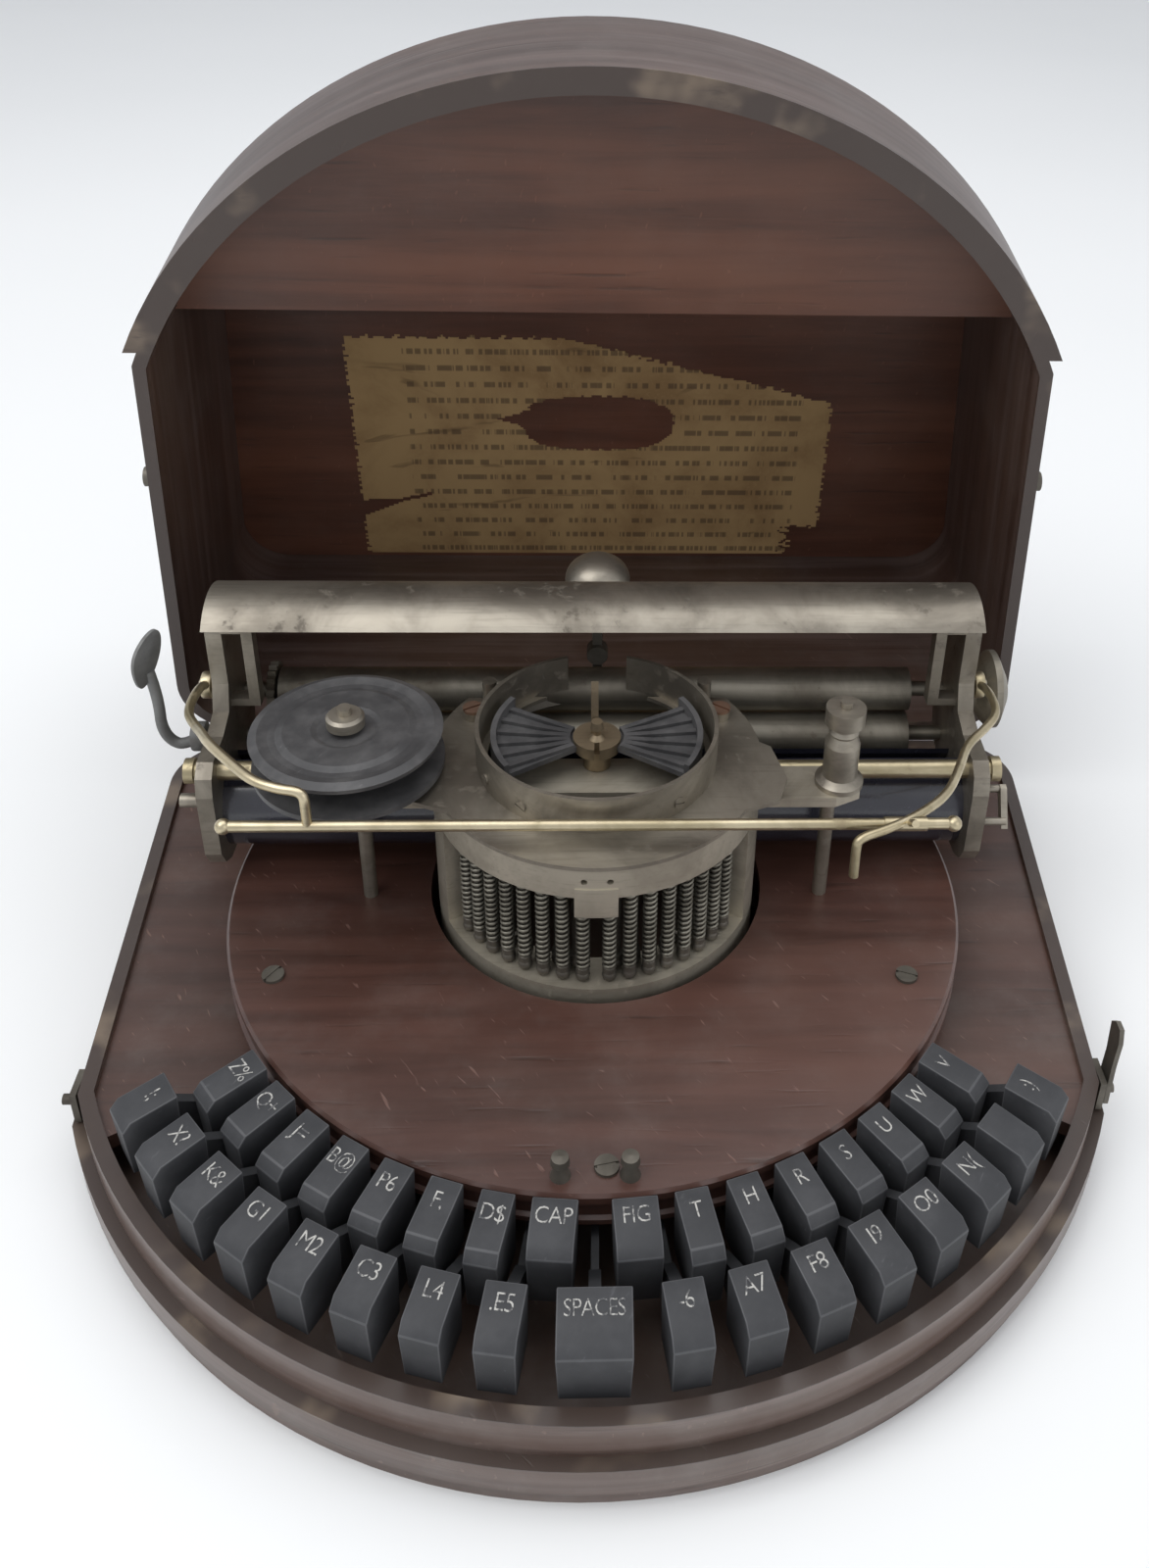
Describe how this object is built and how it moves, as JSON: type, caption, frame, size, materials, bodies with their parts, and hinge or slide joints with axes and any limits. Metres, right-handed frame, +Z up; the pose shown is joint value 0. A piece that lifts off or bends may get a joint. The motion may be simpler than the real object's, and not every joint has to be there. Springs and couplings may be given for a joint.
{
  "type": "keyboard type-shuttle typewriter",
  "caption": "Portable keyboard typewriter with curved key rows, round pin turret with a swinging type wheel, sliding paper carriage and hinged bentwood case lid.",
  "frame": {"origin": "turret axis on the table plane under the base", "axes": "+Z up along the turret axis, -Y towards the keyboard side, +X to the typist's right"},
  "size_m": [0.374, 0.4298, 0.3435],
  "materials": {
    "case_wood": "worn satin varnish",
    "deck_wood": "worn satin varnish",
    "disc_wood": "satin varnish",
    "nickel": "tarnished nickel plate",
    "roller_nickel": "worn nickel",
    "dark_steel": "oxidised steel",
    "brass": "tarnished brass",
    "bronze": "dull bronze",
    "vulcanite": "aged hard rubber",
    "black_japan": "black enamel",
    "key_black": "matte"
  },
  "bodies": {
    "case_base": {"base_board": "case_wood", "rim_band": "case_wood", "deck_board": "deck_wood", "disc_board": "disc_wood", "key_fulcrum": "dark_steel", "turret_frame": "nickel", "turret_top_plate": "nickel", "index_pins": "dark_steel", "spool_posts": "nickel", "bell": "nickel", "base_fittings": "dark_steel"},
    "lid": {"lid_band": "case_wood", "lid_boards": "disc_wood", "lid_hardware": "dark_steel"},
    "type_wheel": {"shuttle_hub": "bronze", "type_sectors": "vulcanite"},
    "spool": {"ribbon_spool": "vulcanite"},
    "carriage": {"carriage_ends": "nickel", "carriage_rail": "brass", "cover_bar": "nickel", "paper_basket": "black_japan"},
    "feed": {"feed_roller": "roller_nickel"},
    "press": {"pressure_roller": "roller_nickel"},
    "bail": {"paper_bail": "brass"},
    "lever": {"return_lever": "nickel"},
    "strike": {"hammer": "dark_steel"},
    "hasp": {"latch_hasp": "dark_steel"},
    "key_outer_l1_body": {"key_outer_l1": "key_black"},
    "key_outer_l2_body": {"key_outer_l2": "key_black"},
    "key_outer_l3_body": {"key_outer_l3": "key_black"},
    "key_outer_l4_body": {"key_outer_l4": "key_black"},
    "key_outer_l5_body": {"key_outer_l5": "key_black"},
    "key_outer_l6_body": {"key_outer_l6": "key_black"},
    "key_outer_l7_body": {"key_outer_l7": "key_black"},
    "key_outer_l8_body": {"key_outer_l8": "key_black"},
    "key_inner_l1_body": {"key_inner_l1": "key_black"},
    "key_inner_l2_body": {"key_inner_l2": "key_black"},
    "key_inner_l3_body": {"key_inner_l3": "key_black"},
    "key_inner_l4_body": {"key_inner_l4": "key_black"},
    "key_inner_l5_body": {"key_inner_l5": "key_black"},
    "key_inner_l6_body": {"key_inner_l6": "key_black"},
    "key_inner_l7_body": {"key_inner_l7": "key_black"},
    "key_outer_r1_body": {"key_outer_r1": "key_black"},
    "key_outer_r2_body": {"key_outer_r2": "key_black"},
    "key_outer_r3_body": {"key_outer_r3": "key_black"},
    "key_outer_r4_body": {"key_outer_r4": "key_black"},
    "key_outer_r5_body": {"key_outer_r5": "key_black"},
    "key_outer_r6_body": {"key_outer_r6": "key_black"},
    "key_outer_r7_body": {"key_outer_r7": "key_black"},
    "key_outer_r8_body": {"key_outer_r8": "key_black"},
    "key_inner_r1_body": {"key_inner_r1": "key_black"},
    "key_inner_r2_body": {"key_inner_r2": "key_black"},
    "key_inner_r3_body": {"key_inner_r3": "key_black"},
    "key_inner_r4_body": {"key_inner_r4": "key_black"},
    "key_inner_r5_body": {"key_inner_r5": "key_black"},
    "key_inner_r6_body": {"key_inner_r6": "key_black"},
    "key_inner_r7_body": {"key_inner_r7": "key_black"},
    "key_spaces_body": {"key_spaces": "key_black"},
    "key_cap_body": {"key_cap": "key_black"},
    "key_fig_body": {"key_fig": "key_black"}
  },
  "joints": [
    {"name": "lid_hinge", "type": "hinge", "parent": "case_base", "child": "lid", "pos_m": [0, 0.1135, 0.0334], "axis": [1, 0, 0], "range_deg": [0, 81]},
    {"name": "type_wheel_turn", "type": "hinge", "parent": "case_base", "child": "type_wheel", "pos_m": [0, 0, 0.11], "axis": [0, 0, 1], "range_deg": [-70, 70]},
    {"name": "ribbon_spool_turn", "type": "hinge", "parent": "case_base", "child": "spool", "pos_m": [-0.086, -0.008, 0.12], "axis": [0, 0, 1], "continuous": true},
    {"name": "carriage_slide", "type": "slide", "parent": "case_base", "child": "carriage", "axis": [1, 0, 0], "range_m": [-0.028, 0.012]},
    {"name": "feed_roller_turn", "type": "hinge", "parent": "carriage", "child": "feed", "pos_m": [0, 0.055, 0.101], "axis": [1, 0, 0], "continuous": true},
    {"name": "pressure_roller_turn", "type": "hinge", "parent": "carriage", "child": "press", "pos_m": [0, 0.05, 0.083], "axis": [1, 0, 0], "continuous": true},
    {"name": "bail_swing", "type": "hinge", "parent": "carriage", "child": "bail", "pos_m": [0, 0.042, 0.112], "axis": [1, 0, 0], "range_deg": [-50, 0]},
    {"name": "return_lever_swing", "type": "hinge", "parent": "carriage", "child": "lever", "pos_m": [-0.1465, 0.026, 0.1], "axis": [1, 0, 0], "range_deg": [0, 25], "stiffness_Nm_per_rad": 0.05, "springref_deg": -14.32},
    {"name": "hammer_swing", "type": "hinge", "parent": "case_base", "child": "strike", "pos_m": [0, 0.0736, 0.06], "axis": [1, 0, 0], "range_deg": [0, 7], "stiffness_Nm_per_rad": 0.1, "springref_deg": -17.19},
    {"name": "latch_hasp_swing", "type": "hinge", "parent": "case_base", "child": "hasp", "pos_m": [0.1752, -0.074, 0.0245], "axis": [1, 0, 0], "range_deg": [-90, 90]},
    {"name": "key_outer_l1_press", "type": "hinge", "parent": "case_base", "child": "key_outer_l1_body", "pos_m": [-0.01478, -0.0989, 0.0325], "axis": [0.989, -0.1478, 0], "range_deg": [0, 4.5], "stiffness_Nm_per_rad": 0.3, "springref_deg": -6.88},
    {"name": "key_outer_l2_press", "type": "hinge", "parent": "case_base", "child": "key_outer_l2_body", "pos_m": [-0.02605, -0.09655, 0.0325], "axis": [0.9655, -0.2605, 0], "range_deg": [0, 4.5], "stiffness_Nm_per_rad": 0.3, "springref_deg": -6.88},
    {"name": "key_outer_l3_press", "type": "hinge", "parent": "case_base", "child": "key_outer_l3_body", "pos_m": [-0.03698, -0.09291, 0.0325], "axis": [0.9291, -0.3697, 0], "range_deg": [0, 4.5], "stiffness_Nm_per_rad": 0.3, "springref_deg": -6.88},
    {"name": "key_outer_l4_press", "type": "hinge", "parent": "case_base", "child": "key_outer_l4_body", "pos_m": [-0.04741, -0.08805, 0.0325], "axis": [0.8805, -0.4741, 0], "range_deg": [0, 4.5], "stiffness_Nm_per_rad": 0.3, "springref_deg": -6.88},
    {"name": "key_outer_l5_press", "type": "hinge", "parent": "case_base", "child": "key_outer_l5_body", "pos_m": [-0.05722, -0.08202, 0.0325], "axis": [0.8202, -0.5721, 0], "range_deg": [0, 4.5], "stiffness_Nm_per_rad": 0.3, "springref_deg": -6.88},
    {"name": "key_outer_l6_press", "type": "hinge", "parent": "case_base", "child": "key_outer_l6_body", "pos_m": [-0.06626, -0.0749, 0.0325], "axis": [0.749, -0.6626, 0], "range_deg": [0, 4.5], "stiffness_Nm_per_rad": 0.3, "springref_deg": -6.88},
    {"name": "key_outer_l7_press", "type": "hinge", "parent": "case_base", "child": "key_outer_l7_body", "pos_m": [-0.07443, -0.06678, 0.0325], "axis": [0.6678, -0.7443, 0], "range_deg": [0, 4.5], "stiffness_Nm_per_rad": 0.3, "springref_deg": -6.88},
    {"name": "key_outer_l8_press", "type": "hinge", "parent": "case_base", "child": "key_outer_l8_body", "pos_m": [-0.08161, -0.05779, 0.0325], "axis": [0.5779, -0.8161, 0], "range_deg": [0, 4.5], "stiffness_Nm_per_rad": 0.3, "springref_deg": -6.88},
    {"name": "key_inner_l1_press", "type": "hinge", "parent": "case_base", "child": "key_inner_l1_body", "pos_m": [-0.02045, -0.09789, 0.0325], "axis": [0.9789, -0.2045, 0], "range_deg": [0, 4.5], "stiffness_Nm_per_rad": 0.3, "springref_deg": -6.88},
    {"name": "key_inner_l2_press", "type": "hinge", "parent": "case_base", "child": "key_inner_l2_body", "pos_m": [-0.03157, -0.09489, 0.0325], "axis": [0.9489, -0.3156, 0], "range_deg": [0, 4.5], "stiffness_Nm_per_rad": 0.3, "springref_deg": -6.88},
    {"name": "key_inner_l3_press", "type": "hinge", "parent": "case_base", "child": "key_inner_l3_body", "pos_m": [-0.04226, -0.09063, 0.0325], "axis": [0.9063, -0.4226, 0], "range_deg": [0, 4.5], "stiffness_Nm_per_rad": 0.3, "springref_deg": -6.88},
    {"name": "key_inner_l4_press", "type": "hinge", "parent": "case_base", "child": "key_inner_l4_body", "pos_m": [-0.0524, -0.08517, 0.0325], "axis": [0.8517, -0.524, 0], "range_deg": [0, 4.5], "stiffness_Nm_per_rad": 0.3, "springref_deg": -6.88},
    {"name": "key_inner_l5_press", "type": "hinge", "parent": "case_base", "child": "key_inner_l5_body", "pos_m": [-0.06184, -0.07859, 0.0325], "axis": [0.7859, -0.6184, 0], "range_deg": [0, 4.5], "stiffness_Nm_per_rad": 0.3, "springref_deg": -6.88},
    {"name": "key_inner_l6_press", "type": "hinge", "parent": "case_base", "child": "key_inner_l6_body", "pos_m": [-0.07046, -0.07096, 0.0325], "axis": [0.7096, -0.7046, 0], "range_deg": [0, 4.5], "stiffness_Nm_per_rad": 0.3, "springref_deg": -6.88},
    {"name": "key_inner_l7_press", "type": "hinge", "parent": "case_base", "child": "key_inner_l7_body", "pos_m": [-0.07815, -0.06239, 0.0325], "axis": [0.6239, -0.7815, 0], "range_deg": [0, 4.5], "stiffness_Nm_per_rad": 0.3, "springref_deg": -6.88},
    {"name": "key_outer_r1_press", "type": "hinge", "parent": "case_base", "child": "key_outer_r1_body", "pos_m": [0.01478, -0.0989, 0.0325], "axis": [0.989, 0.1478, 0], "range_deg": [0, 4.5], "stiffness_Nm_per_rad": 0.3, "springref_deg": -6.88},
    {"name": "key_outer_r2_press", "type": "hinge", "parent": "case_base", "child": "key_outer_r2_body", "pos_m": [0.02605, -0.09655, 0.0325], "axis": [0.9655, 0.2605, 0], "range_deg": [0, 4.5], "stiffness_Nm_per_rad": 0.3, "springref_deg": -6.88},
    {"name": "key_outer_r3_press", "type": "hinge", "parent": "case_base", "child": "key_outer_r3_body", "pos_m": [0.03698, -0.09291, 0.0325], "axis": [0.9291, 0.3697, 0], "range_deg": [0, 4.5], "stiffness_Nm_per_rad": 0.3, "springref_deg": -6.88},
    {"name": "key_outer_r4_press", "type": "hinge", "parent": "case_base", "child": "key_outer_r4_body", "pos_m": [0.04741, -0.08805, 0.0325], "axis": [0.8805, 0.4741, 0], "range_deg": [0, 4.5], "stiffness_Nm_per_rad": 0.3, "springref_deg": -6.88},
    {"name": "key_outer_r5_press", "type": "hinge", "parent": "case_base", "child": "key_outer_r5_body", "pos_m": [0.05722, -0.08202, 0.0325], "axis": [0.8202, 0.5721, 0], "range_deg": [0, 4.5], "stiffness_Nm_per_rad": 0.3, "springref_deg": -6.88},
    {"name": "key_outer_r6_press", "type": "hinge", "parent": "case_base", "child": "key_outer_r6_body", "pos_m": [0.06626, -0.0749, 0.0325], "axis": [0.749, 0.6626, 0], "range_deg": [0, 4.5], "stiffness_Nm_per_rad": 0.3, "springref_deg": -6.88},
    {"name": "key_outer_r7_press", "type": "hinge", "parent": "case_base", "child": "key_outer_r7_body", "pos_m": [0.07443, -0.06678, 0.0325], "axis": [0.6678, 0.7443, 0], "range_deg": [0, 4.5], "stiffness_Nm_per_rad": 0.3, "springref_deg": -6.88},
    {"name": "key_outer_r8_press", "type": "hinge", "parent": "case_base", "child": "key_outer_r8_body", "pos_m": [0.08161, -0.05779, 0.0325], "axis": [0.5779, 0.8161, 0], "range_deg": [0, 4.5], "stiffness_Nm_per_rad": 0.3, "springref_deg": -6.88},
    {"name": "key_inner_r1_press", "type": "hinge", "parent": "case_base", "child": "key_inner_r1_body", "pos_m": [0.02045, -0.09789, 0.0325], "axis": [0.9789, 0.2045, 0], "range_deg": [0, 4.5], "stiffness_Nm_per_rad": 0.3, "springref_deg": -6.88},
    {"name": "key_inner_r2_press", "type": "hinge", "parent": "case_base", "child": "key_inner_r2_body", "pos_m": [0.03157, -0.09489, 0.0325], "axis": [0.9489, 0.3156, 0], "range_deg": [0, 4.5], "stiffness_Nm_per_rad": 0.3, "springref_deg": -6.88},
    {"name": "key_inner_r3_press", "type": "hinge", "parent": "case_base", "child": "key_inner_r3_body", "pos_m": [0.04226, -0.09063, 0.0325], "axis": [0.9063, 0.4226, 0], "range_deg": [0, 4.5], "stiffness_Nm_per_rad": 0.3, "springref_deg": -6.88},
    {"name": "key_inner_r4_press", "type": "hinge", "parent": "case_base", "child": "key_inner_r4_body", "pos_m": [0.0524, -0.08517, 0.0325], "axis": [0.8517, 0.524, 0], "range_deg": [0, 4.5], "stiffness_Nm_per_rad": 0.3, "springref_deg": -6.88},
    {"name": "key_inner_r5_press", "type": "hinge", "parent": "case_base", "child": "key_inner_r5_body", "pos_m": [0.06184, -0.07859, 0.0325], "axis": [0.7859, 0.6184, 0], "range_deg": [0, 4.5], "stiffness_Nm_per_rad": 0.3, "springref_deg": -6.88},
    {"name": "key_inner_r6_press", "type": "hinge", "parent": "case_base", "child": "key_inner_r6_body", "pos_m": [0.07046, -0.07096, 0.0325], "axis": [0.7096, 0.7046, 0], "range_deg": [0, 4.5], "stiffness_Nm_per_rad": 0.3, "springref_deg": -6.88},
    {"name": "key_inner_r7_press", "type": "hinge", "parent": "case_base", "child": "key_inner_r7_body", "pos_m": [0.07815, -0.06239, 0.0325], "axis": [0.6239, 0.7815, 0], "range_deg": [0, 4.5], "stiffness_Nm_per_rad": 0.3, "springref_deg": -6.88},
    {"name": "key_spaces_press", "type": "hinge", "parent": "case_base", "child": "key_spaces_body", "pos_m": [0, -0.1, 0.0325], "axis": [1, 0, 0], "range_deg": [0, 4.5], "stiffness_Nm_per_rad": 0.3, "springref_deg": -6.88},
    {"name": "key_cap_press", "type": "hinge", "parent": "case_base", "child": "key_cap_body", "pos_m": [-0.00837, -0.09965, 0.0325], "axis": [0.9965, -0.0837, 0], "range_deg": [0, 4.5], "stiffness_Nm_per_rad": 0.3, "springref_deg": -6.88},
    {"name": "key_fig_press", "type": "hinge", "parent": "case_base", "child": "key_fig_body", "pos_m": [0.00837, -0.09965, 0.0325], "axis": [0.9965, 0.0837, 0], "range_deg": [0, 4.5], "stiffness_Nm_per_rad": 0.3, "springref_deg": -6.88}
  ],
  "couplings": [
    {"joint": "pressure_roller_turn", "follows": "feed_roller_turn", "ratio": -0.95556}
  ]
}
